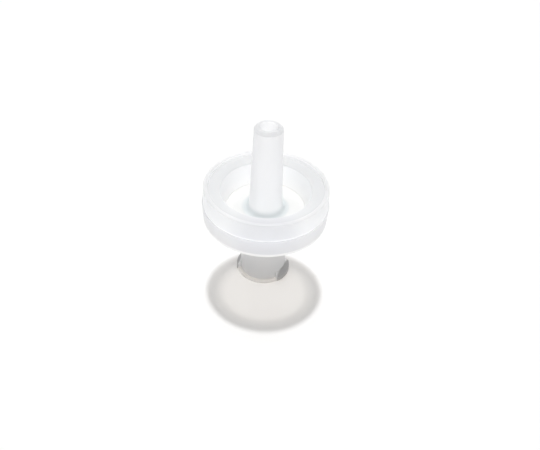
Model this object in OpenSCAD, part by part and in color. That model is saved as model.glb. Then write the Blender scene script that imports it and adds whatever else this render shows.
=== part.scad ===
// Syringe filter with a 13 mm membrane, welded from two translucent mouldings.
// The lower moulding carries the female luer-lock inlet, the upper one the male luer outlet.
// It stands on the open end of its inlet hub. Millimetres, +Z up, origin at the centre of that end.

/* [Inlet hub] */
// Length of the hub below the housing
hub_len = 9.4; // [9:0.1:14]
// Outside diameter of the hub's barrel
hub_d = 6.6; // [6:0.1:6.8]
// Rounding between the hub and the underside of the housing
hub_root_r = 0.6; // [0.2:0.1:1]
// How far the rim round the open end stands out past the barrel
mouth_rim_w = 0.5; // [0.2:0.05:0.6]
// Height of that rim
mouth_rim_h = 0.3; // [0.25:0.05:0.6]
// Chamfer on the edges of that rim and under the lugs
mouth_chamfer = 0.08; // [0.05:0.01:0.12]
// Diameter of the luer socket at its mouth
socket_mouth_d = 4.3; // [4.2:0.01:4.4]
// Depth of the luer socket's cone
socket_depth = 7.5; // [7:0.1:8]
// Length of the straight bore at the end of that cone
socket_end_len = 1; // [0.5:0.1:1]
// Lead-in chamfer at the socket's mouth
socket_lead = 0.12; // [0.05:0.01:0.2]
// Diameter of the passage from the socket to the chamber
inlet_bore_d = 2; // [1.2:0.1:3]

/* [Luer-lock lugs] */
// Diameter across the two lugs
lug_circle_d = 7.8; // [7.4:0.01:8.2]
// Width of each lug
lug_w = 4.4; // [2.4:0.1:5]
// Height of each lug above the open end
lug_h = 1.4; // [1.1:0.1:3]

/* [Housing] */
// Outside diameter at the weld seam
housing_d = 18.1; // [17.4:0.1:24]
// Thickness of the inlet moulding's side wall
wall_t = 1.1; // [0.8:0.05:1.3]
// Thickness of the inlet moulding's plate
base_t = 0.7; // [0.5:0.05:1.5]
// Height of the weld seam above the housing's underside
seam_h = 3.05; // [2.6:0.05:4]
// How far the inlet moulding stands out past the outlet moulding at the seam
seam_ledge = 0.16; // [0.05:0.01:0.3]
// Rounding on the rim of the inlet moulding
seam_r = 0.12; // [0.05:0.01:0.3]
// Radius that the side loses from the seam to the underside
side_draft = 0.2; // [0.05:0.05:0.4]
// Rounding between the side and the underside
base_edge_r = 0.55; // [0.2:0.05:0.8]

/* [Rim and recess] */
// Height of the raised lip round the top
lip_h = 0.55; // [0.3:0.05:1.5]
// Width of the raised lip
lip_w = 0.6; // [0.4:0.05:1]
// Rounding on the lip's outer edge
lip_r = 0.2; // [0.05:0.05:0.3]
// Diameter of the recess at its rim
recess_rim_d = 12.8; // [11.8:0.1:14]
// Diameter of the recess at its floor
recess_floor_d = 11.2; // [9:0.1:11.6]
// Depth of the recess round the outlet
recess_depth = 3.1; // [2.4:0.1:4]
// Rounding on the recess's rim
recess_edge_r = 0.2; // [0.05:0.05:0.4]
// Thickness of the recess's floor
floor_t = 0.6; // [0.4:0.05:1.5]

/* [Outlet luer] */
// Diameter of the luer at its tip
luer_tip_d = 4; // [3.9:0.01:4.1]
// Diameter that a luer cone gains in each millimetre of length
luer_taper = 0.06; // [0.05:0.005:0.07]
// Height of the tip above the rim of the recess
luer_reach = 10.5; // [8:0.1:14]
// Chamfer on the tip
tip_chamfer = 0.4; // [0.1:0.05:0.5]
// Rounding between the luer and the recess's floor
luer_root_r = 0.6; // [0.2:0.1:1]
// Diameter of the outlet passage
outlet_bore_d = 2.4; // [1.4:0.1:2.8]

/* [Membrane and chamber] */
// Diameter of the membrane disc
membrane_d = 13; // [12.4:0.1:14]
// Thickness of the membrane disc
membrane_t = 0.15; // [0.1:0.01:0.3]
// Diameter of the chamber that the liquid crosses
chamber_d = 11; // [9:0.1:11.8]
// Depth of the flow channels under the membrane
inlet_gap = 0.35; // [0.2:0.05:0.8]
// Depth of the flow channels over the membrane
outlet_gap = 0.3; // [0.2:0.05:0.8]
// Number of spokes that hold the membrane off the inlet plate
inlet_spokes = 12; // [6:1:16]
// Number of support rings over the membrane
outlet_rings = 3; // [2:1:4]
// Number of channels that cut the support rings
outlet_channels = 6; // [4:1:10]
// Width of the spokes and rings
rib_w = 0.4; // [0.3:0.05:0.5]
// Width of the channels through the rings
channel_w = 0.7; // [0.4:0.05:1]

/* [Fits] */
// Radial clearance between the outlet moulding's plug and the inlet moulding's wall
plug_clearance = 0.05; // [0.02:0.01:0.1]
// Radial clearance round the membrane's edge
membrane_clearance = 0.05; // [0.02:0.01:0.1]

/* [Hidden] */

$fn = 96;
FILLET_STEPS = 5;
MERGE = 0.2; // how far a rib is sunk into the wall that carries it
CUT = 1; // how far a cutter runs past what it cuts

// Levels, from the open end of the hub upwards
base_z = hub_len;
chamber_z = base_z + base_t;
land_z = chamber_z + inlet_gap;
clamp_z = land_z + membrane_t;
roof_z = clamp_z + outlet_gap;
recess_z = roof_z + floor_t;
rim_z = recess_z + recess_depth;
lip_z = rim_z + lip_h;
tip_z = rim_z + luer_reach;
seam_z = base_z + seam_h;

// Radii
hub_r = hub_d / 2;
mouth_rim_r = hub_r + mouth_rim_w;
socket_r = socket_mouth_d / 2;
socket_end_r = socket_r - luer_taper * socket_depth / 2;
inlet_bore_r = inlet_bore_d / 2;
outlet_bore_r = outlet_bore_d / 2;
seam_rim_r = housing_d / 2;
base_r = seam_rim_r - side_draft;
cup_r = seam_rim_r - wall_t;
plug_r = cup_r - plug_clearance;
upper_r = seam_rim_r - seam_ledge;
lip_inner_r = upper_r - lip_w;
membrane_r = membrane_d / 2;
pocket_r = membrane_r + membrane_clearance;
chamber_r = chamber_d / 2;
recess_rim_r = recess_rim_d / 2;
recess_floor_r = recess_floor_d / 2;
tip_r = luer_tip_d / 2;

// Radius of the outlet luer's cone at a height
function luer_r(z) = tip_r + luer_taper * (tip_z - z) / 2;

// Points along an arc from angle a to angle b round a centre
function arc(centre, r, a, b) =
    [for (i = [0:FILLET_STEPS]) let (t = a + (b - a) * i / FILLET_STEPS)
        [centre[0] + r * cos(t), centre[1] + r * sin(t)]];

// Hub with its mouth rim, plate and side wall in one section
module inlet_body() {
    rotate_extrude() polygon(concat(
        [[socket_r + socket_lead, 0],
         [socket_r - luer_taper * socket_lead / 2, socket_lead],
         [socket_end_r, socket_depth],
         [socket_end_r, socket_depth + socket_end_len],
         [inlet_bore_r, socket_depth + socket_end_len],
         [inlet_bore_r, chamber_z],
         [chamber_r, chamber_z],
         [chamber_r, land_z],
         [cup_r, land_z],
         [cup_r, seam_z]],
        arc([seam_rim_r - seam_r, seam_z - seam_r], seam_r, 90, 0),
        arc([base_r - base_edge_r, base_z + base_edge_r], base_edge_r, 0, -90),
        arc([hub_r + hub_root_r, base_z - hub_root_r], hub_root_r, 90, 180),
        [[hub_r, mouth_rim_h],
         [mouth_rim_r - mouth_chamfer, mouth_rim_h],
         [mouth_rim_r, mouth_rim_h - mouth_chamfer],
         [mouth_rim_r, mouth_chamfer],
         [mouth_rim_r - mouth_chamfer, 0]]));
}

// Two lugs that thicken the rim on the X axis, with a sloped flank above
module lugs() {
    lug_r = lug_circle_d / 2;
    intersection() {
        rotate_extrude() polygon([
            [hub_r - MERGE, 0],
            [lug_r - mouth_chamfer, 0],
            [lug_r, mouth_chamfer],
            [lug_r, lug_h - (lug_r - hub_r)],
            [hub_r, lug_h],
            [hub_r - MERGE, lug_h]]);
        translate([-lug_r - CUT, -lug_w / 2, -CUT])
            cube([lug_circle_d + 2 * CUT, lug_w, lug_h + 2 * CUT]);
    }
}

// Spokes that hold the membrane off the plate
module inlet_ribs() {
    inner_r = inlet_bore_r + rib_w;
    for (i = [0:inlet_spokes - 1])
        rotate(i * 360 / inlet_spokes)
            translate([inner_r, -rib_w / 2, chamber_z - MERGE])
                cube([chamber_r + MERGE - inner_r, rib_w, inlet_gap + MERGE]);
}

module inlet_half() {
    color([0.86, 0.87, 0.88]) union() {
        inlet_body();
        lugs();
        inlet_ribs();
    }
}

module membrane() {
    color([0.97, 0.97, 0.95])
        translate([0, 0, land_z]) cylinder(h = membrane_t, r = membrane_r);
}

// Luer, recess, lip and plug in one section
module outlet_body() {
    wall_angle = atan2(recess_rim_r - recess_floor_r, recess_depth);
    root_x = luer_r(recess_z + luer_root_r) + luer_root_r;
    rotate_extrude() polygon(concat(
        [[outlet_bore_r, roof_z],
         [outlet_bore_r, tip_z],
         [tip_r - tip_chamfer, tip_z],
         [luer_r(tip_z - tip_chamfer), tip_z - tip_chamfer]],
        arc([root_x, recess_z + luer_root_r], luer_root_r, 180, 270),
        [[recess_floor_r, recess_z]],
        arc([recess_rim_r + recess_edge_r, rim_z - recess_edge_r], recess_edge_r,
            180 - wall_angle, 90),
        [[lip_inner_r, rim_z],
         [lip_inner_r, lip_z]],
        arc([upper_r - lip_r, lip_z - lip_r], lip_r, 90, 0),
        [[upper_r, seam_z],
         [plug_r, seam_z],
         [plug_r, land_z],
         [pocket_r, land_z],
         [pocket_r, clamp_z],
         [chamber_r, clamp_z],
         [chamber_r, roof_z]]));
}

// Support rings over the membrane, cut by channels that lead to the bore
module outlet_ribs() {
    pitch = (chamber_r - outlet_bore_r) / (outlet_rings + 1);
    difference() {
        for (i = [1:outlet_rings])
            translate([0, 0, clamp_z]) difference() {
                cylinder(h = outlet_gap + MERGE, r = outlet_bore_r + i * pitch + rib_w / 2);
                translate([0, 0, -CUT])
                    cylinder(h = outlet_gap + MERGE + 2 * CUT,
                             r = outlet_bore_r + i * pitch - rib_w / 2);
            }
        for (i = [0:outlet_channels - 1])
            rotate(i * 360 / outlet_channels)
                translate([0, -channel_w / 2, clamp_z - CUT])
                    cube([chamber_r, channel_w, outlet_gap + CUT]);
    }
}

module outlet_half() {
    color([0.94, 0.95, 0.96]) union() {
        outlet_body();
        outlet_ribs();
    }
}

inlet_half();
membrane();
outlet_half();
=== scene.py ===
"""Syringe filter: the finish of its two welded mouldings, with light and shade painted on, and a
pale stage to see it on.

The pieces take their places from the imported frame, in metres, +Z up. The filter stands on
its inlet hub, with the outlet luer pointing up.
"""

import math

import bpy
from bpy.props import FloatProperty, FloatVectorProperty, IntProperty, PointerProperty
from mathutils import Matrix, Vector


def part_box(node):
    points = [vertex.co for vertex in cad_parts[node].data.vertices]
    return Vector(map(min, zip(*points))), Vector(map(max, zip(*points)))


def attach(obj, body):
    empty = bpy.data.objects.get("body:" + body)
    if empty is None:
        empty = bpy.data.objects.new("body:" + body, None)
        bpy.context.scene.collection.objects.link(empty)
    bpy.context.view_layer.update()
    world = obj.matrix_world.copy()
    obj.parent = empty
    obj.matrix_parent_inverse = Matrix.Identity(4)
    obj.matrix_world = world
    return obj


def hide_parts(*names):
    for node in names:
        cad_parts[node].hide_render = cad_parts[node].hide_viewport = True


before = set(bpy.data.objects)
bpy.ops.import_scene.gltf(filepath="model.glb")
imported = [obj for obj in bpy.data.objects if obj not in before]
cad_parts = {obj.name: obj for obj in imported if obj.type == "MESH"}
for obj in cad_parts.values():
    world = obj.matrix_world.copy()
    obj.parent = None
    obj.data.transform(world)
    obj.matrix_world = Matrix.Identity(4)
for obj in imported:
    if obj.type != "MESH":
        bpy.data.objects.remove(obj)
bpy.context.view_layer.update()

bl_info = {
    "name": "Syringe Filter Finish",
    "version": (1, 0, 0),
    "blender": (4, 5, 0),
    "location": "View3D > Sidebar > Syringe Filter",
    "description": "Gives a luer syringe filter its moulded detail and milky plastic",
    "category": "Object",
}

INLET_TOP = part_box("inlet_half")[1]
OUTLET_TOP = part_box("outlet_half")[1]
MEMBRANE_BASE, MEMBRANE_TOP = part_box("membrane")

SEAM_Z = INLET_TOP.z
LAND_Z = MEMBRANE_BASE.z
CLAMP_Z = MEMBRANE_TOP.z
TIP_Z = OUTLET_TOP.z
SEAM_RIM_R = INLET_TOP.x
UPPER_R = OUTLET_TOP.x
MEMBRANE_R = MEMBRANE_TOP.x

BODY = "root"
UP = Vector((0, 0, 1))
WHITE = (1.0, 1.0, 1.0, 1.0)

# Fineness of the meshes
TURN_SEGMENTS = 240
ARC_STEPS = 8
RING_POINTS = 24
RIB_CORNER_POINTS = 3
MERGE_DISTANCE = 1e-6
MOST_SMOOTH_ANGLE = math.radians(32)

# Grain of the materials: scales are repeats in a metre, depths are metres
STREAK_SCALE, STREAK_DETAIL = 260.0, 4.0
SKIN_SCALE, SKIN_DETAIL = 5200.0, 3.0
SKIN_RELIEF, SKIN_DEPTH = 0.12, 0.00004
SKIN_ROUGHNESS_RANGE = 0.1
NOISE_ROUGHNESS = 0.55
PORE_SCALE = 9000.0
PORE_RELIEF, PORE_DEPTH = 0.2, 0.00002
FILM_ROUGHNESS = 0.85
SPREAD_BY_CHANNEL = (1.0, 0.97, 0.94)  # how far red, green and blue spread

# The painted shade down one side, the luer's dark image in the wall: where it fades in across
# the top, and how far round it reaches
LUER_IMAGE_INNER, LUER_IMAGE_OUTER = 0.65, 0.75  # shares of the lip's radius
LUER_IMAGE_EDGE = 0.78  # cosine of the angle from its middle to its edge
LUER_IMAGE_STRENGTH = 0.7

SENSOR_WIDTH = 36  # millimetres
NEAREST_SEEN = 0.001  # metres
MOST_CLEAR_WALLS = 32  # walls that light may cross on its way to the lamp


def length(name, description, default):
    return FloatProperty(
        name=name, description=description, default=default, precision=5,
        unit="LENGTH", subtype="DISTANCE",
    )


def share(name, description, default):
    return FloatProperty(
        name=name, description=description, default=default, min=0.0, max=1.0,
        subtype="FACTOR",
    )


def angle(name, description, degrees):
    return FloatProperty(
        name=name, description=description, default=math.radians(degrees),
        unit="ROTATION", subtype="ANGLE",
    )


def colour(name, description, default):
    return FloatVectorProperty(
        name=name, description=description, default=default, size=3, min=0.0, max=1.0,
        subtype="COLOR",
    )


def count(name, description, default):
    return IntProperty(name=name, description=description, default=default, min=1)


# --- Sizes, finishes and stage settings that a user may change ---


class InletSizes(bpy.types.PropertyGroup):
    """Sizes of the hub and of the inlet moulding"""

    hub_diameter: length("Hub diameter", "Outside of the hub's barrel", 0.0066)
    hub_root: length("Hub root", "Rounding between the hub and the underside", 0.0006)
    mouth_rim: length("Mouth rim", "How far the rim at the mouth stands out", 0.0005)
    mouth_rim_height: length("Mouth rim height", "Height of the rim at the mouth", 0.0003)
    mouth_chamfer: length("Mouth chamfer", "Chamfer on the edges of that rim", 0.00008)
    mouth_diameter: length("Mouth diameter", "Luer socket at its mouth", 0.0043)
    socket_depth: length("Socket depth", "Depth of the luer socket's cone", 0.0075)
    socket_end: length("Socket end", "Straight bore at the end of that cone", 0.001)
    socket_lead: length("Socket lead", "Lead-in chamfer at the mouth", 0.00012)
    bore_diameter: length("Passage", "Hole from the socket to the chamber", 0.002)
    lug_circle: length("Lug circle", "Diameter across the lugs", 0.0078)
    lug_width: length("Lug width", "Width of each lug", 0.0044)
    lug_height: length("Lug height", "Height of each lug above the open end", 0.0014)
    lug_count: count("Lugs", "Number of luer-lock lugs", 2)
    seam_height: length("Seam height", "Seam above the underside", 0.00305)
    wall: length("Side wall", "Thickness of the side wall", 0.0011)
    plate: length("Plate", "Thickness of the inlet plate", 0.0007)
    rim_rounding: length("Rim rounding", "Rounding on the rim at the seam", 0.00012)
    draft: length("Draft", "Radius lost from the seam to the underside", 0.0002)
    base_rounding: length("Base rounding", "Rounding round the underside", 0.00055)


class OutletSizes(bpy.types.PropertyGroup):
    """Sizes of the recess, the lip and the outlet luer"""

    lip_height: length("Lip height", "Height of the raised lip", 0.00055)
    lip_width: length("Lip width", "Width of the raised lip", 0.0006)
    lip_rounding: length("Lip rounding", "Rounding on the lip's outer edge", 0.0002)
    recess_rim: length("Recess rim", "Diameter of the recess at its rim", 0.0128)
    recess_floor: length("Recess floor", "Diameter of the recess's floor", 0.0112)
    recess_depth: length("Recess depth", "Depth of the recess", 0.0031)
    recess_rounding: length("Recess rounding", "Rounding on the recess's rim", 0.0002)
    floor: length("Floor", "Thickness of the recess's floor", 0.0006)
    tip_diameter: length("Tip diameter", "Diameter of the luer at its tip", 0.004)
    tip_chamfer: length("Tip chamfer", "Chamfer on the tip", 0.0004)
    luer_root: length("Luer root", "Rounding at the foot of the luer", 0.0006)
    bore_diameter: length("Bore", "Diameter of the outlet passage", 0.0024)
    plug_clearance: length("Plug clearance", "Gap round the plug", 0.00005)


class ChamberSizes(bpy.types.PropertyGroup):
    """Sizes of the chamber and its ribs, and the taper that both luers share"""

    diameter: length("Chamber", "Diameter of the chamber", 0.011)
    outlet_gap: length("Outlet gap", "Depth of the channels over the membrane", 0.0003)
    pocket_clearance: length("Pocket clearance", "Gap round the membrane", 0.00005)
    rib_width: length("Rib width", "Width of spokes and rings", 0.0004)
    rib_rounding: length("Rib rounding", "Rounding on the ribs' edges", 0.00006)
    rib_sink: length("Rib sink", "How far a rib is sunk into its wall", 0.0002)
    channel_width: length("Channel width", "Width of the channels in the rings", 0.0007)
    spokes: count("Spokes", "Spokes under the membrane", 12)
    rings: count("Rings", "Support rings over the membrane", 3)
    channels: count("Channels", "Channels that cut the rings", 6)
    taper: share("Luer taper", "Diameter gained for each length of luer cone", 0.06)


class PlasticFinish(bpy.types.PropertyGroup):
    """How the natural polypropylene and the membrane look, with the light and shade painted on
    them
    """

    outlet_colour: colour("Outlet plastic", "Upper moulding", (0.84, 0.85, 0.86))
    outlet_haze: colour("Outlet haze", "Denser streaks in it", (0.75, 0.76, 0.775))
    outlet_through: colour("Outlet light", "Tint of light through it", (0.95, 0.955, 0.96))
    outlet_glow: share("Outlet glow", "Share of its light that comes through it", 0.33)
    # Painted shade: the flat rim round the recess is painted darker than the plastic
    rim_shade_colour: colour("Rim", "Flat rim round the recess", (0.66, 0.67, 0.68))
    # Painted light: the raised lip is painted paler, lifting the shade on its rounded edge
    lip_light_colour: colour("Lip", "Raised lip round that rim", (0.94, 0.94, 0.945))
    # Painted light: the recess wall is painted white and lets nearly all light through, lifting
    # its shade
    recess_light_colour: colour("Recess", "Upper moulding's wall round the recess", (1.0, 1.0, 1.0))
    recess_glow: share("Recess glow", "Share that comes through that wall", 0.95)
    # Painted shade: the recess floor is painted darker and lets less light through, holding down
    # the light on it
    basin_shade_colour: colour("Recess floor", "Thin floor of the recess", (0.715, 0.715, 0.71))
    basin_glow: share("Floor glow", "Share that comes through that floor", 0.38)
    luer_colour: colour("Luer", "Outlet luer", (0.93, 0.93, 0.94))
    # Painted shade: the luer is painted darker towards its tip
    tip_shade_colour: colour("Luer tip", "Outlet luer towards its tip", (0.79, 0.79, 0.80))
    luer_glow: share("Luer glow", "Share that comes through it", 0.42)
    # Painted shadow: a contact shadow round the luer's foot, with less light through
    foot_shade_colour: colour("Luer foot", "Thick foot of the outlet luer", (0.59, 0.63, 0.645))
    foot_glow: share("Foot glow", "Share that comes through that foot", 0.15)
    inlet_colour: colour("Inlet plastic", "Lower moulding", (0.70, 0.70, 0.715))
    inlet_haze: colour("Inlet haze", "Denser streaks in it", (0.62, 0.62, 0.635))
    inlet_through: colour("Inlet light", "Tint of light through it", (0.9, 0.91, 0.92))
    inlet_glow: share("Inlet glow", "Share of its light that comes through it", 0.28)
    # Painted light: the rounded lower edge and underside are painted paler
    lower_edge_light_colour: colour("Lower edge", "Rounded edge and underside", (0.88, 0.88, 0.89))
    base_glow: share("Lower edge glow", "Share that comes through that edge", 0.2)
    # Painted shade on the hub: paler just under the housing, darker down towards its mouth, with
    # little light through
    hub_top_shading_colour: colour("Hub top", "Inlet hub next to the housing", (0.86, 0.865, 0.875))
    hub_shade_colour: colour("Hub plastic", "Lower moulding in its thick hub", (0.66, 0.67, 0.685))
    hub_glow: share("Hub glow", "Share that comes through the hub", 0.12)
    # Painted shade: the luer-lock lugs are painted dark
    lug_shade_colour: colour("Lugs", "Luer-lock lugs", (0.34, 0.345, 0.355))
    # Painted highlight: the thin rim at the hub's mouth is painted pale
    mouth_rim_light_colour: colour("Mouth rim", "Thin rim round the hub's mouth", (0.92, 0.92, 0.915))
    # Painted highlight: a pale line along the upper moulding's edge at the seam
    seam_highlight_colour: colour("Seam", "Upper moulding's edge at the seam", (0.95, 0.95, 0.955))
    # Painted light: hidden walls inside the weld are painted near white, so more light bounces
    # inside
    inner_light_colour: colour("Inside", "Walls inside the weld", (0.98, 0.98, 0.98))
    membrane_colour: colour("Membrane", "Membrane film", (0.95, 0.95, 0.93))
    # Painted shade: the luer's dark image in the wall, painted down one side of the housing
    luer_image_colour: colour("Front haze", "Denser haze down one side", (0.55, 0.56, 0.60))
    front_turn: angle("Front turn", "Where that haze is, round from the front", 24.0)
    tint_fade: length("Tint fade", "Width over which one tint turns into the next", 0.0003)
    spread: share("Spread", "Share of the light that spreads inside the plastic", 0.85)
    spread_reach: length("Spread reach", "How far light spreads in the plastic", 0.004)
    roughness: share("Roughness", "Roughness of the moulded surface", 0.3)
    index: FloatProperty(
        name="Index", description="Refractive index", default=1.49, min=1.0, max=2.0
    )
    skin_shadow: colour("Skin shadow", "Lamp light past each skin", (0.985, 0.982, 0.98))
    film_shadow: colour("Film shadow", "Lamp light past a side of the film", (0.755, 0.73, 0.70))
    weld_shadow: colour("Weld shadow", "Lamp light past the weld", (0.29, 0.265, 0.235))
    weld_radius: length("Weld radius", "Radius of the wall that throws a dense ring", 0.0082)
    weld_width: length("Weld width", "How far inwards the ring fades out", 0.0028)


class StageSettings(bpy.types.PropertyGroup):
    """The floor, the lamps and the camera"""

    view_distance: length("View distance", "Camera to the rim of the recess", 0.13)
    view_elevation: angle("View elevation", "Camera above the rim's plane", 37.3)
    view_turn: angle("View turn", "Camera round the filter, from the front", 22.0)
    view_roll: angle("View roll", "Camera's roll", 2.5)
    view_width: length("View width", "Width of the view at the rim", 0.07595)
    aim_right: length("Aim right", "View's middle, right of the rim's middle", 0.00053)
    aim_down: length("Aim down", "View's middle, below the rim's middle", 0.00505)
    key_elevation: angle("Key elevation", "Main lamp above the floor", 61.5)
    key_turn: angle("Key turn", "Main lamp to the left of straight behind", 3.0)
    key_size: angle("Key size", "Apparent width of the main lamp", 5.0)
    key_strength: FloatProperty(name="Key", description="Main lamp", default=1.85)
    sky_top: FloatProperty(name="Sky top", description="Fill from overhead", default=0.58)
    sky_rim: FloatProperty(name="Sky rim", description="Fill from the sides", default=0.42)
    floor_size: length("Floor size", "Width of the floor", 3.0)
    floor_colour: colour("Floor", "Colour of the floor", (0.97, 0.97, 0.965))


class FilterSettings(bpy.types.PropertyGroup):
    """Everything that a user may change"""

    inlet: PointerProperty(type=InletSizes)
    outlet: PointerProperty(type=OutletSizes)
    chamber: PointerProperty(type=ChamberSizes)
    finish: PointerProperty(type=PlasticFinish)
    stage: PointerProperty(type=StageSettings)


# --- Node trees written as expressions ---


class Wire:
    """An output socket. Arithmetic on it adds Math nodes to its tree."""

    def __init__(self, tree, socket):
        self.tree = tree
        self.socket = socket

    def math(self, operation, *others):
        return self.tree.math(operation, self, *others)

    def __add__(self, other):
        return self.math("ADD", other)

    def __sub__(self, other):
        return self.math("SUBTRACT", other)

    def __rsub__(self, other):
        return self.tree.math("SUBTRACT", other, self)

    def __mul__(self, other):
        return self.math("MULTIPLY", other)

    def __truediv__(self, other):
        return self.math("DIVIDE", other)

    def __rtruediv__(self, other):
        return self.tree.math("DIVIDE", other, self)

    def __pow__(self, other):
        return self.math("POWER", other)

    __radd__ = __add__
    __rmul__ = __mul__


class Tree:
    """A shader or geometry tree that is filled node by node."""

    def __init__(self, nodes, links):
        self.nodes = nodes
        self.links = links

    def node(self, kind, settings=None, sockets=None):
        """Adds a node: its settings first, then its sockets' values or links.

        A list goes into a socket that takes several links.
        """
        made = self.nodes.new(kind)
        for name, value in (settings or {}).items():
            setattr(made, name, value)
        for key, value in (sockets or {}).items():
            for one in value if isinstance(value, list) else [value]:
                if isinstance(one, Wire):
                    self.links.new(one.socket, made.inputs[key])
                else:
                    made.inputs[key].default_value = one
        return Outlets(self, made)

    def math(self, operation, *values):
        sockets = dict(enumerate(values))
        return self.node("ShaderNodeMath", {"operation": operation}, sockets)[0]

    def vector(self, **parts):
        """A vector from its X, Y and Z, with 0 for one that isn't given."""
        return self.node("ShaderNodeCombineXYZ", None, parts)[0]

    def apart(self, vector):
        """The X, Y and Z of a vector."""
        return self.node("ShaderNodeSeparateXYZ", None, {0: vector})


class Outlets:
    """The outputs of one node, by name or number."""

    def __init__(self, tree, made):
        self.tree = tree
        self.made = made

    def __getitem__(self, key):
        return Wire(self.tree, self.made.outputs[key])


def shader_tree(owner):
    """An emptied shader tree of a material or the world."""
    owner.use_nodes = True
    owner.node_tree.nodes.clear()
    return Tree(owner.node_tree.nodes, owner.node_tree.links)


def geometry_tree(name, inputs):
    """A geometry tree with named inputs: the group, the tree and the inputs' outlets."""
    group = bpy.data.node_groups.new(name, "GeometryNodeTree")
    sockets = {"Geometry": "NodeSocketGeometry", **inputs}
    for label, kind in sockets.items():
        group.interface.new_socket(label, in_out="INPUT", socket_type=kind)
    group.interface.new_socket("Geometry", in_out="OUTPUT", socket_type="NodeSocketGeometry")
    tree = Tree(group.nodes, group.links)
    return group, tree, tree.node("NodeGroupInput")


def close_tree(tree, geometry, material):
    """Ends a geometry tree: instances made real, then the material."""
    real = tree.node("GeometryNodeRealizeInstances", None, {0: geometry})[0]
    sockets = {"Geometry": real, "Material": material}
    finished = tree.node("GeometryNodeSetMaterial", None, sockets)[0]
    tree.node("NodeGroupOutput", None, {0: finished})


def grown(name, group, material, values, seed_mesh=None):
    """A plain mesh object made by a geometry tree from its named inputs."""
    seed_name = name + "_seed"
    seed = bpy.data.objects.new(seed_name, seed_mesh or bpy.data.meshes.new(seed_name))
    bpy.context.scene.collection.objects.link(seed)
    modifier = seed.modifiers.new("grow", "NODES")
    modifier.node_group = group
    for item in group.interface.items_tree:
        if item.in_out == "INPUT" and item.name in values:
            modifier[item.identifier] = values[item.name]
    ready = seed.evaluated_get(bpy.context.evaluated_depsgraph_get())
    mesh = bpy.data.meshes.new_from_object(ready)
    seed.modifiers.clear()
    bpy.data.objects.remove(seed)
    mesh.name = name
    mesh.materials.clear()
    mesh.materials.append(material)
    mesh.polygons.foreach_set("material_index", [0] * len(mesh.polygons))
    mesh.shade_smooth()
    mesh.set_sharp_from_angle(angle=MOST_SMOOTH_ANGLE)
    piece = bpy.data.objects.new(name, mesh)
    bpy.context.scene.collection.objects.link(piece)
    return piece


def turned_tree(material):
    """Turns a closed profile round Z, and moves its points out by their rise on the lugs."""
    inputs = {
        "Segments": "NodeSocketInt",
        "Lugs": "NodeSocketInt",
        "Lug Half Angle": "NodeSocketFloat",
    }
    group, tree, entry = geometry_tree("turned_moulding", inputs)
    profile = entry["Geometry"]
    size = tree.node("GeometryNodeAttributeDomainSize", {"component": "MESH"}, {0: profile})
    rows = size["Point Count"]
    stride = rows + 1
    sheet = tree.node(
        "GeometryNodeMeshGrid", None,
        {"Vertices X": entry["Segments"] + 1, "Vertices Y": stride},
    )["Mesh"]
    index = tree.node("GeometryNodeInputIndex")[0]
    column = (index / stride).math("FLOOR")
    row = (index - column * stride).math("MODULO", rows)
    place = tree.node("GeometryNodeInputPosition")[0]
    rise = tree.node(
        "GeometryNodeInputNamedAttribute", {"data_type": "FLOAT"}, {"Name": "rise"}
    )["Attribute"]
    point = tree.node(
        "GeometryNodeSampleIndex", {"data_type": "FLOAT_VECTOR", "domain": "POINT"},
        {"Geometry": profile, "Value": place, "Index": row},
    )["Value"]
    risen = tree.node(
        "GeometryNodeSampleIndex", {"data_type": "FLOAT", "domain": "POINT"},
        {"Geometry": profile, "Value": rise, "Index": row},
    )["Value"]
    parts = tree.apart(point)
    turn = column * math.tau / entry["Segments"]
    half_pitch = math.pi / entry["Lugs"]
    from_lug = turn.math("WRAP", half_pitch, half_pitch * -1).math("ABSOLUTE")
    on_lug = from_lug.math("LESS_THAN", entry["Lug Half Angle"])
    radius = parts["X"] + risen * on_lug
    moved = tree.vector(
        X=radius * turn.math("COSINE"), Y=radius * turn.math("SINE"), Z=parts["Z"]
    )
    shaped = tree.node(
        "GeometryNodeSetPosition", None, {"Geometry": sheet, "Position": moved}
    )[0]
    closed = tree.node(
        "GeometryNodeMergeByDistance", None, {"Geometry": shaped, "Distance": MERGE_DISTANCE}
    )[0]
    outward = tree.node("GeometryNodeFlipFaces", None, {"Mesh": closed})[0]
    close_tree(tree, outward, material)
    return group


def rib_profile(tree, width, height, rounding):
    """A rounded rectangle, the section of every rib."""
    box = tree.node("GeometryNodeCurvePrimitiveQuadrilateral", None, {
        "Width": width, "Height": height,
    })[0]
    return tree.node("GeometryNodeFilletCurve", {"mode": "POLY"}, {
        "Curve": box, "Radius": rounding, "Count": RIB_CORNER_POINTS, "Limit Radius": True,
    })[0]


def swept_rib(tree, path, section):
    """A rib along a path, closed at both ends."""
    sockets = {"Curve": path, "Profile Curve": section, "Fill Caps": True}
    return tree.node("GeometryNodeCurveToMesh", None, sockets)[0]


def fanned(tree, rib, copies):
    """Copies of a rib, turned evenly round Z."""
    points = tree.node("GeometryNodePoints", None, {"Count": copies})[0]
    index = tree.node("GeometryNodeInputIndex")[0]
    turn = tree.vector(Z=index * math.tau / copies)
    sockets = {"Points": points, "Instance": rib, "Rotation": turn}
    return tree.node("GeometryNodeInstanceOnPoints", None, sockets)[0]


RIB_INPUTS = {
    "Copies": "NodeSocketInt",
    "Width": "NodeSocketFloat",
    "Height": "NodeSocketFloat",
    "Rounding": "NodeSocketFloat",
    "Middle": "NodeSocketFloat",
}


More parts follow.
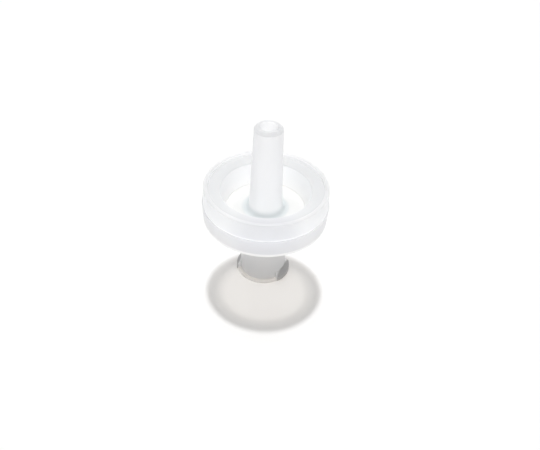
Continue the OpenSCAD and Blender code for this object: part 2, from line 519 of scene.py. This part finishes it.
def spokes_tree(material):
    """Straight ribs from the passage to the chamber's wall."""
    inputs = {**RIB_INPUTS, "Inner": "NodeSocketFloat", "Outer": "NodeSocketFloat"}
    group, tree, entry = geometry_tree("inlet_spokes", inputs)
    start = tree.vector(X=entry["Inner"], Z=entry["Middle"])
    end = tree.vector(X=entry["Outer"], Z=entry["Middle"])
    path = tree.node("GeometryNodeCurvePrimitiveLine", None, {"Start": start, "End": end})[0]
    section = rib_profile(tree, entry["Width"], entry["Height"], entry["Rounding"])
    close_tree(tree, fanned(tree, swept_rib(tree, path, section), entry["Copies"]), material)
    return group


def rings_tree(material, rings):
    """Rings cut into arcs by the channels between them."""
    inputs = {
        **RIB_INPUTS,
        "Inner": "NodeSocketFloat",
        "Pitch": "NodeSocketFloat",
        "Channel": "NodeSocketFloat",
    }
    group, tree, entry = geometry_tree("support_rings", inputs)
    section = rib_profile(tree, entry["Width"], entry["Height"], entry["Rounding"])
    arcs = []
    for ring in range(1, rings + 1):
        radius = entry["Inner"] + entry["Pitch"] * ring
        gap = entry["Channel"] / radius
        path = tree.node("GeometryNodeCurveArc", {"mode": "RADIUS"}, {
            "Resolution": RING_POINTS,
            "Radius": radius,
            "Start Angle": gap / 2,
            "Sweep Angle": math.tau / entry["Copies"] - gap,
        })["Curve"]
        arcs.append(swept_rib(tree, path, section))
    joined = tree.node("GeometryNodeJoinGeometry", None, {0: arcs})[0]
    lift = tree.vector(Z=entry["Middle"])
    raised = tree.node(
        "GeometryNodeTransform", None, {"Geometry": joined, "Translation": lift}
    )[0]
    close_tree(tree, fanned(tree, raised, entry["Copies"]), material)
    return group


# --- Profiles ---


def arc(centre_r, centre_z, radius, start, end):
    """Points along an arc between two angles in degrees."""
    step = (end - start) / ARC_STEPS
    turns = [math.radians(start + step * i) for i in range(ARC_STEPS + 1)]
    return [(centre_r + radius * math.cos(t), centre_z + radius * math.sin(t)) for t in turns]


def profile_mesh(name, points, top_r=0.0, rising=()):
    """A closed chain of points (radius, height); the rising ones reach top_r on a lug."""
    mesh = bpy.data.meshes.new(name)
    last = len(points) - 1
    edges = [(i, i + 1) for i in range(last)] + [(last, 0)]
    mesh.from_pydata([(r, 0, z) for r, z in points], edges, [])
    rise = mesh.attributes.new("rise", "FLOAT", "POINT")
    rise.data.foreach_set("value", [top_r - p[0] if p in rising else 0.0 for p in points])
    return mesh


def inlet_profile(inlet, chamber):
    """The inlet moulding's section, and its points that rise on the lugs."""
    base_z = SEAM_Z - inlet.seam_height
    chamber_z = base_z + inlet.plate
    hub_r = inlet.hub_diameter / 2
    mouth_r = inlet.mouth_diameter / 2
    taper = chamber.taper / 2
    end_r = mouth_r - taper * inlet.socket_depth
    passage_r = inlet.bore_diameter / 2
    chamber_r = chamber.diameter / 2
    cup_r = SEAM_RIM_R - inlet.wall
    base_r = SEAM_RIM_R - inlet.draft
    lug_r = inlet.lug_circle / 2
    rim_r = hub_r + inlet.mouth_rim
    lug_points = [
        (hub_r, inlet.lug_height - (lug_r - hub_r)),
        (hub_r, inlet.mouth_rim_height),
        (rim_r - inlet.mouth_chamfer, inlet.mouth_rim_height),
        (rim_r, inlet.mouth_rim_height - inlet.mouth_chamfer),
        (rim_r, inlet.mouth_chamfer),
    ]
    points = [
        (mouth_r + inlet.socket_lead, 0.0),
        (mouth_r - taper * inlet.socket_lead, inlet.socket_lead),
        (end_r, inlet.socket_depth),
        (end_r, inlet.socket_depth + inlet.socket_end),
        (passage_r, inlet.socket_depth + inlet.socket_end),
        (passage_r, chamber_z),
        (chamber_r, chamber_z),
        (chamber_r, LAND_Z),
        (cup_r, LAND_Z),
        (cup_r, SEAM_Z),
        *arc(SEAM_RIM_R - inlet.rim_rounding, SEAM_Z - inlet.rim_rounding,
             inlet.rim_rounding, 90, 0),
        *arc(base_r - inlet.base_rounding, base_z + inlet.base_rounding,
             inlet.base_rounding, 0, -90),
        *arc(hub_r + inlet.hub_root, base_z - inlet.hub_root, inlet.hub_root, 90, 180),
        (hub_r, inlet.lug_height),
        *lug_points,
        (rim_r - inlet.mouth_chamfer, 0.0),
    ]
    return points, lug_points


def outlet_profile(outlet, chamber, inlet):
    """The outlet moulding's section."""
    roof_z = CLAMP_Z + chamber.outlet_gap
    recess_z = roof_z + outlet.floor
    rim_z = recess_z + outlet.recess_depth
    lip_z = rim_z + outlet.lip_height
    bore_r = outlet.bore_diameter / 2
    tip_r = outlet.tip_diameter / 2
    rim_r = outlet.recess_rim / 2
    floor_r = outlet.recess_floor / 2
    chamber_r = chamber.diameter / 2
    plug_r = SEAM_RIM_R - inlet.wall - outlet.plug_clearance
    pocket_r = MEMBRANE_R + chamber.pocket_clearance
    lean = math.degrees(math.atan2(rim_r - floor_r, outlet.recess_depth))

    def luer_r(z):
        return tip_r + chamber.taper * (TIP_Z - z) / 2

    root_z = recess_z + outlet.luer_root
    return [
        (bore_r, roof_z),
        (bore_r, TIP_Z),
        (tip_r - outlet.tip_chamfer, TIP_Z),
        (luer_r(TIP_Z - outlet.tip_chamfer), TIP_Z - outlet.tip_chamfer),
        *arc(luer_r(root_z) + outlet.luer_root, root_z, outlet.luer_root, 180, 270),
        (floor_r, recess_z),
        *arc(rim_r + outlet.recess_rounding, rim_z - outlet.recess_rounding,
             outlet.recess_rounding, 180 - lean, 90),
        (UPPER_R - outlet.lip_width, rim_z),
        (UPPER_R - outlet.lip_width, lip_z),
        *arc(UPPER_R - outlet.lip_rounding, lip_z - outlet.lip_rounding,
             outlet.lip_rounding, 90, 0),
        (UPPER_R, SEAM_Z),
        (plug_r, SEAM_Z),
        (plug_r, LAND_Z),
        (pocket_r, LAND_Z),
        (pocket_r, CLAMP_Z),
        (chamber_r, CLAMP_Z),
        (chamber_r, roof_z),
    ]


# --- Materials ---


def clear_way(tree, tint):
    """Light that goes straight through, tinted."""
    return tree.node("ShaderNodeBsdfTransparent", None, {"Color": (*tint, 1.0)})[0]


def mixed(tree, share, first, second):
    """Two shaders, with the second one by share."""
    return tree.node("ShaderNodeMixShader", None, {0: share, 1: first, 2: second})[0]


def end_material(tree, seen, past):
    """Ends a material: the shader that is seen, and the one that lamp light gets past."""
    to_lamp = tree.node("ShaderNodeLightPath")["Is Shadow Ray"]
    whole = mixed(tree, to_lamp, seen, past)
    tree.node("ShaderNodeOutputMaterial", None, {"Surface": whole})


class MilkyPlastic:
    """One moulding's shader: a streaked milky body, with light and shade painted on by place."""

    def __init__(self, name, clear, haze, glow, fade):
        self.material = bpy.data.materials.new(name)
        self.tree = shader_tree(self.material)
        self.place = self.tree.node("ShaderNodeTexCoord")["Object"]
        parts = self.tree.apart(self.place)
        self.x, self.y, self.z = parts["X"], parts["Y"], parts["Z"]
        self.radius = (self.x ** 2.0 + self.y ** 2.0) ** 0.5
        self.fade = fade
        self.tint = (*clear, 1.0)
        self.glow = glow
        self.paint(self.noise(STREAK_SCALE, STREAK_DETAIL), haze)

    def noise(self, scale, detail):
        """Even noise through the moulding, from 0 to 1."""
        return self.tree.node("ShaderNodeTexNoise", None, {
            "Vector": self.place, "Scale": scale, "Detail": detail,
            "Roughness": NOISE_ROUGHNESS,
        })["Fac"]

    def slope(self, value, start, end):
        """0 up to start, 1 past end, and smooth between the two."""
        sockets = {"Value": value, "From Min": start, "From Max": end}
        settings = {"interpolation_type": "SMOOTHSTEP"}
        return self.tree.node("ShaderNodeMapRange", settings, sockets)["Result"]

    def below(self, value, limit):
        """1 up to the limit, and 0 soon past it."""
        return self.slope(value, limit + self.fade, limit)

    def above(self, value, limit):
        """1 from the limit on, and 0 soon before it."""
        return self.slope(value, limit - self.fade, limit)

    def paint(self, share, tint, glow=None):
        """Lays a tint, and the glow that goes with it, over what is there, by share."""
        sockets = {0: share, 6: self.tint, 7: (*tint, 1.0)}
        self.tint = self.tree.node("ShaderNodeMix", {"data_type": "RGBA"}, sockets)[2]
        if glow is not None:
            self.glow = (1 - share) * self.glow + share * glow

    def paint_luer_image(self, finish):
        """Lays painted shade down one side of the housing, standing in for the luer's dark image
        in the wall.
        """
        turn = finish.front_turn
        cosine = (self.x * math.sin(turn) - self.y * math.cos(turn)) / self.radius
        outside = self.slope(self.radius, UPPER_R * LUER_IMAGE_INNER, UPPER_R * LUER_IMAGE_OUTER)
        darkening = self.slope(cosine, LUER_IMAGE_EDGE, 1.0) * outside * LUER_IMAGE_STRENGTH
        self.paint(darkening, finish.luer_image_colour)

    def weld_way(self, finish):
        """Lamp light past the lower moulding: it dims past the film, and more at the weld."""
        in_wall = self.below(self.radius, finish.weld_radius) * self.below(self.z, LAND_Z)
        past_film = self.above(self.radius, MEMBRANE_R) * in_wall
        weld_inner = finish.weld_radius - finish.weld_width
        to_weld = self.slope(self.radius, weld_inner, finish.weld_radius) * in_wall
        skin, film, weld = (
            clear_way(self.tree, tint)
            for tint in (finish.skin_shadow, finish.film_shadow, finish.weld_shadow)
        )
        return mixed(self.tree, to_weld, mixed(self.tree, past_film, skin, film), weld)

    def finished(self, finish, through, past):
        """The material: a satin skin, light through it, and its own way to shade the lamp."""
        skin = self.noise(SKIN_SCALE, SKIN_DETAIL)
        relief = self.tree.node("ShaderNodeBump", None, {
            "Strength": SKIN_RELIEF, "Distance": SKIN_DEPTH, "Height": skin,
        })["Normal"]
        smoothest = finish.roughness - SKIN_ROUGHNESS_RANGE / 2
        body = self.tree.node("ShaderNodeBsdfPrincipled", None, {
            "Base Color": self.tint,
            "Roughness": smoothest + skin * SKIN_ROUGHNESS_RANGE,
            "IOR": finish.index,
            "Normal": relief,
            "Subsurface Weight": finish.spread,
            "Subsurface Radius": SPREAD_BY_CHANNEL,
            "Subsurface Scale": finish.spread_reach,
        })[0]
        far = self.tree.node("ShaderNodeBsdfTranslucent", None, {"Color": (*through, 1.0)})[0]
        end_material(self.tree, mixed(self.tree, self.glow, body, far), past)
        return self.material


def membrane_film(finish):
    """White microporous film, matt and finely pitted."""
    material = bpy.data.materials.new("membrane_film")
    tree = shader_tree(material)
    place = tree.node("ShaderNodeTexCoord")["Object"]
    pores = tree.node(
        "ShaderNodeTexVoronoi", None, {"Vector": place, "Scale": PORE_SCALE}
    )["Distance"]
    shade = tree.node("ShaderNodeMix", {"data_type": "RGBA"}, {
        0: pores, 6: (*finish.membrane_colour, 1.0), 7: WHITE,
    })[2]
    relief = tree.node("ShaderNodeBump", None, {
        "Strength": PORE_RELIEF, "Distance": PORE_DEPTH, "Height": pores,
    })["Normal"]
    film = tree.node("ShaderNodeBsdfPrincipled", None, {
        "Base Color": shade, "Roughness": FILM_ROUGHNESS, "Normal": relief,
    })[0]
    end_material(tree, film, clear_way(tree, finish.film_shadow))
    return material


def inlet_plastic(settings):
    """The lower moulding's plastic, made once: painted shade on its hub, its lugs and down one
    side, and painted light on its lower edge, mouth rim and inner walls.
    """
    made = bpy.data.materials.get("milky_inlet")
    if made:
        return made
    finish, inlet = settings.finish, settings.inlet
    base_z = SEAM_Z - inlet.seam_height
    cup_r = SEAM_RIM_R - inlet.wall
    plastic = MilkyPlastic(
        "milky_inlet", finish.inlet_colour, finish.inlet_haze, finish.inlet_glow,
        finish.tint_fade,
    )
    # Painted shade down one side: the luer's dark image in the wall
    plastic.paint_luer_image(finish)
    # Painted light: the hidden walls inside the cup are painted near white
    in_cup = 1 - plastic.slope(plastic.radius, cup_r, cup_r + finish.tint_fade)
    plastic.paint(in_cup * plastic.above(plastic.z, base_z + inlet.plate), finish.inner_light_colour)
    # Painted light on the rounded lower edge and underside
    lower_edge_light_mask = plastic.below(plastic.z, base_z + inlet.base_rounding)
    plastic.paint(lower_edge_light_mask, finish.lower_edge_light_colour, finish.base_glow)
    # Painted shade on the hub, darker towards its mouth
    root_z = base_z - inlet.hub_root * 2
    hub_shading_mask = plastic.slope(plastic.z, base_z, root_z)
    plastic.paint(hub_shading_mask, finish.hub_top_shading_colour, finish.hub_glow)
    plastic.paint(hub_shading_mask * plastic.slope(plastic.z, base_z, 0.0), finish.hub_shade_colour)
    # Painted highlight on the rim at the hub's mouth
    plastic.paint(plastic.below(plastic.z, inlet.mouth_rim_height), finish.mouth_rim_light_colour)
    # Painted shade on the lugs
    on_lug = plastic.above(plastic.x.math("ABSOLUTE"), inlet.hub_diameter / 2)
    plastic.paint(on_lug * plastic.below(plastic.z, inlet.lug_height), finish.lug_shade_colour)
    return plastic.finished(finish, finish.inlet_through, plastic.weld_way(finish))


def outlet_plastic(settings):
    """The upper moulding's plastic, made once: painted shade on its flat rim, recess floor, luer
    tip, luer foot and down one side, and painted light on its lip, recess wall, seam and inner
    walls.
    """
    made = bpy.data.materials.get("milky_outlet")
    if made:
        return made
    finish, outlet = settings.finish, settings.outlet
    recess_z = CLAMP_Z + settings.chamber.outlet_gap + outlet.floor
    rim_z = recess_z + outlet.recess_depth
    plastic = MilkyPlastic(
        "milky_outlet", finish.outlet_colour, finish.outlet_haze, finish.outlet_glow,
        finish.tint_fade,
    )
    lip_r = UPPER_R - outlet.lip_width
    lip_z = rim_z + outlet.lip_height
    # Painted shade on the flat rim round the recess
    rim_shade_mask = plastic.above(plastic.z, rim_z) * plastic.below(plastic.radius, lip_r)
    plastic.paint(rim_shade_mask, finish.rim_shade_colour)
    # Painted light on the raised lip
    lip_light_mask = plastic.above(plastic.radius, lip_r) * plastic.above(plastic.z, lip_z)
    plastic.paint(lip_light_mask, finish.lip_light_colour)
    # Painted shade down one side: the luer's dark image in the wall
    plastic.paint_luer_image(finish)
    # Painted highlight along the seam
    plastic.paint(plastic.below(plastic.z, SEAM_Z), finish.seam_highlight_colour)
    # Painted light: the hidden walls below the seam are painted near white
    plastic.paint(1 - plastic.above(plastic.z, SEAM_Z), finish.inner_light_colour)
    inside_rim = plastic.below(plastic.radius, outlet.recess_rim / 2 + outlet.recess_rounding)
    # Painted light on the recess wall: white, with nearly all light through
    recess_light_mask = inside_rim * plastic.slope(plastic.z, rim_z, rim_z - finish.tint_fade)
    plastic.paint(recess_light_mask, finish.recess_light_colour, finish.recess_glow)
    # Painted shade on the recess floor
    basin_shade_mask = inside_rim * plastic.below(plastic.z, recess_z)
    plastic.paint(basin_shade_mask, finish.basin_shade_colour, finish.basin_glow)
    luer_r = outlet.tip_diameter / 2 + settings.chamber.taper * (TIP_Z - recess_z) / 2
    foot_r = luer_r + outlet.luer_root
    on_luer = 1 - plastic.slope(plastic.radius, foot_r, foot_r + finish.tint_fade)
    plastic.paint(on_luer, finish.luer_colour, finish.luer_glow)
    # Painted shade, darker towards the luer's tip
    plastic.paint(on_luer * plastic.slope(plastic.z, rim_z, TIP_Z), finish.tip_shade_colour)
    # Painted shadow round the luer's foot and the floor next to it
    round_foot = plastic.slope(plastic.radius, foot_r + outlet.luer_root, foot_r)
    low_down = plastic.slope(plastic.z, recess_z + outlet.luer_root * 2, recess_z)
    plastic.paint(round_foot * low_down, finish.foot_shade_colour, finish.foot_glow)
    past = clear_way(plastic.tree, finish.skin_shadow)
    return plastic.finished(finish, finish.outlet_through, past)


# --- Operators ---


class FILTER_OT_inlet_moulding(bpy.types.Operator):
    """Turn the inlet moulding with its hub, socket and luer-lock lugs"""

    bl_idname = "syringe_filter.inlet_moulding"
    bl_label = "Inlet moulding"

    def execute(self, context):
        settings = context.scene.syringe_filter
        inlet = settings.inlet
        points, lug_points = inlet_profile(inlet, settings.chamber)
        lug_r = inlet.lug_circle / 2
        values = {
            "Segments": TURN_SEGMENTS,
            "Lugs": inlet.lug_count,
            "Lug Half Angle": math.asin(inlet.lug_width / 2 / lug_r),
        }
        plastic = inlet_plastic(settings)
        seed = profile_mesh("inlet_profile", points, lug_r, lug_points)
        piece = grown("inlet_moulding", turned_tree(plastic), plastic, values, seed)
        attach(piece, BODY)
        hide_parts("inlet_half")
        return {"FINISHED"}


class FILTER_OT_inlet_spokes(bpy.types.Operator):
    """Add the spokes that hold the membrane off the inlet plate"""

    bl_idname = "syringe_filter.inlet_spokes"
    bl_label = "Inlet spokes"

    def execute(self, context):
        settings = context.scene.syringe_filter
        inlet, chamber = settings.inlet, settings.chamber
        chamber_z = SEAM_Z - inlet.seam_height + inlet.plate
        low = chamber_z - chamber.rib_sink
        values = {
            "Copies": chamber.spokes,
            "Width": chamber.rib_width,
            "Height": LAND_Z - low,
            "Rounding": chamber.rib_rounding,
            "Middle": (LAND_Z + low) / 2,
            "Inner": inlet.bore_diameter / 2 + chamber.rib_width,
            "Outer": chamber.diameter / 2 + chamber.rib_sink,
        }
        plastic = inlet_plastic(settings)
        piece = grown("inlet_spokes", spokes_tree(plastic), plastic, values)
        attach(piece, BODY)
        return {"FINISHED"}


class FILTER_OT_membrane(bpy.types.Operator):
    """Finish the membrane disc"""

    bl_idname = "syringe_filter.membrane"
    bl_label = "Membrane"

    def execute(self, context):
        film = membrane_film(context.scene.syringe_filter.finish)
        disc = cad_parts["membrane"]
        disc.data.materials.clear()
        disc.data.materials.append(film)
        return {"FINISHED"}


class FILTER_OT_outlet_moulding(bpy.types.Operator):
    """Turn the outlet moulding with its lip, recess and luer"""

    bl_idname = "syringe_filter.outlet_moulding"
    bl_label = "Outlet moulding"

    def execute(self, context):
        settings = context.scene.syringe_filter
        points = outlet_profile(settings.outlet, settings.chamber, settings.inlet)
        values = {"Segments": TURN_SEGMENTS, "Lugs": 1, "Lug Half Angle": 0.0}
        plastic = outlet_plastic(settings)
        seed = profile_mesh("outlet_profile", points)
        piece = grown("outlet_moulding", turned_tree(plastic), plastic, values, seed)
        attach(piece, BODY)
        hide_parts("outlet_half")
        return {"FINISHED"}


class FILTER_OT_support_rings(bpy.types.Operator):
    """Add the rings that support the membrane on the outlet side"""

    bl_idname = "syringe_filter.support_rings"
    bl_label = "Support rings"

    def execute(self, context):
        settings = context.scene.syringe_filter
        outlet, chamber = settings.outlet, settings.chamber
        high = CLAMP_Z + chamber.outlet_gap + chamber.rib_sink
        inner = outlet.bore_diameter / 2
        values = {
            "Copies": chamber.channels,
            "Width": chamber.rib_width,
            "Height": high - CLAMP_Z,
            "Rounding": chamber.rib_rounding,
            "Middle": (high + CLAMP_Z) / 2,
            "Inner": inner,
            "Pitch": (chamber.diameter / 2 - inner) / (chamber.rings + 1),
            "Channel": chamber.channel_width,
        }
        plastic = outlet_plastic(settings)
        tree = rings_tree(plastic, chamber.rings)
        piece = grown("support_rings", tree, plastic, values)
        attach(piece, BODY)
        return {"FINISHED"}


def pointing(forward, up):
    """A turn whose -Z looks along forward, with up kept upwards."""
    back = -forward.normalized()
    right = up.cross(back).normalized()
    return Matrix((right, back.cross(right), back)).transposed().to_4x4()


def place_camera(stage, rim_z):
    """The camera, which looks down on the filter from the front."""
    turn, rise, roll = stage.view_turn, stage.view_elevation, stage.view_roll
    back = Vector((
        math.sin(turn) * math.cos(rise), -math.cos(turn) * math.cos(rise), math.sin(rise)
    ))
    right = UP.cross(back).normalized()
    up = back.cross(right)
    rolled_right = right * math.cos(roll) + up * math.sin(roll)
    rolled_up = up * math.cos(roll) - right * math.sin(roll)
    middle = Vector((0, 0, rim_z))
    aim = middle + rolled_right * stage.aim_right - rolled_up * stage.aim_down
    eye = middle + back * stage.view_distance
    data = bpy.data.cameras.new("view")
    data.sensor_width = SENSOR_WIDTH
    data.lens = SENSOR_WIDTH * stage.view_distance / stage.view_width
    data.clip_start = NEAREST_SEEN
    camera = bpy.data.objects.new("view", data)
    camera.matrix_world = Matrix.Translation(eye) @ pointing(aim - eye, rolled_up)
    bpy.context.scene.collection.objects.link(camera)
    bpy.context.scene.camera = camera


def hang_key(stage):
    """The main lamp, a broad source above and behind the filter."""
    data = bpy.data.lights.new("key", "SUN")
    data.energy = stage.key_strength
    data.angle = stage.key_size
    turn = stage.view_turn + stage.key_turn
    rise = stage.key_elevation
    to_lamp = Vector((
        -math.sin(turn) * math.cos(rise), math.cos(turn) * math.cos(rise), math.sin(rise)
    ))
    lamp = bpy.data.objects.new("key", data)
    lamp.matrix_world = pointing(-to_lamp, UP)
    bpy.context.scene.collection.objects.link(lamp)


def light_sky(stage):
    """A soft sky, brighter overhead, that shows plain white to the camera and to gloss."""
    world = bpy.data.worlds.new("studio")
    bpy.context.scene.world = world
    tree = shader_tree(world)
    direction = tree.node("ShaderNodeTexCoord")["Generated"]
    height = tree.apart(direction)["Z"].math("MAXIMUM", 0.0)
    fill, white = (
        tree.node("ShaderNodeBackground", None, {"Color": WHITE, "Strength": strength})[0]
        for strength in (stage.sky_rim + height * (stage.sky_top - stage.sky_rim), 1.0)
    )
    path = tree.node("ShaderNodeLightPath")
    seen = path["Is Camera Ray"].math("MAXIMUM", path["Is Glossy Ray"])
    seen = seen.math("MAXIMUM", path["Is Transmission Ray"])
    tree.node("ShaderNodeOutputWorld", None, {"Surface": mixed(tree, seen, fill, white)})


def lay_floor(stage):
    """A plain pale floor that keeps the filter's shadow."""
    half = stage.floor_size / 2
    corners = [(-half, -half, 0), (half, -half, 0), (half, half, 0), (-half, half, 0)]
    mesh = bpy.data.meshes.new("floor")
    mesh.from_pydata(corners, [], [(0, 1, 2, 3)])
    material = bpy.data.materials.new("floor")
    tree = shader_tree(material)
    matt = tree.node("ShaderNodeBsdfDiffuse", None, {"Color": (*stage.floor_colour, 1.0)})[0]
    tree.node("ShaderNodeOutputMaterial", None, {"Surface": matt})
    mesh.materials.append(material)
    floor = bpy.data.objects.new("floor", mesh)
    bpy.context.scene.collection.objects.link(floor)


class FILTER_OT_stage(bpy.types.Operator):
    """Lay the floor, hang the lamps and place the camera"""

    bl_idname = "syringe_filter.stage"
    bl_label = "Stage"

    def execute(self, context):
        settings = context.scene.syringe_filter
        outlet = settings.outlet
        recess_z = CLAMP_Z + settings.chamber.outlet_gap + outlet.floor
        place_camera(settings.stage, recess_z + outlet.recess_depth)
        hang_key(settings.stage)
        light_sky(settings.stage)
        lay_floor(settings.stage)
        context.scene.cycles.transparent_max_bounces = MOST_CLEAR_WALLS
        context.scene.view_settings.view_transform = "Standard"
        return {"FINISHED"}


OPERATORS = (
    FILTER_OT_inlet_moulding,
    FILTER_OT_inlet_spokes,
    FILTER_OT_membrane,
    FILTER_OT_outlet_moulding,
    FILTER_OT_support_rings,
    FILTER_OT_stage,
)


class FILTER_PT_panel(bpy.types.Panel):
    """Sidebar panel with the filter's pieces and settings"""

    bl_idname = "FILTER_PT_panel"
    bl_label = "Syringe Filter"
    bl_space_type = "VIEW_3D"
    bl_region_type = "UI"
    bl_category = "Syringe Filter"

    def draw(self, context):
        settings = context.scene.syringe_filter
        for operator in OPERATORS:
            self.layout.operator(operator.bl_idname)
        for group in (
            settings.inlet, settings.outlet, settings.chamber, settings.finish, settings.stage
        ):
            column = self.layout.column(align=True)
            for name in group.bl_rna.properties.keys():
                if name not in ("rna_type", "name"):
                    column.prop(group, name)


CLASSES = (
    InletSizes,
    OutletSizes,
    ChamberSizes,
    PlasticFinish,
    StageSettings,
    FilterSettings,
    *OPERATORS,
    FILTER_PT_panel,
)


def register():
    for cls in CLASSES:
        bpy.utils.register_class(cls)
    bpy.types.Scene.syringe_filter = PointerProperty(type=FilterSettings)


def unregister():
    del bpy.types.Scene.syringe_filter
    for cls in reversed(CLASSES):
        bpy.utils.unregister_class(cls)


def main():
    register()
    bpy.ops.syringe_filter.inlet_moulding()
    bpy.ops.syringe_filter.inlet_spokes()
    bpy.ops.syringe_filter.membrane()
    bpy.ops.syringe_filter.outlet_moulding()
    bpy.ops.syringe_filter.support_rings()
    bpy.ops.syringe_filter.stage()


if __name__ == "__main__":
    main()
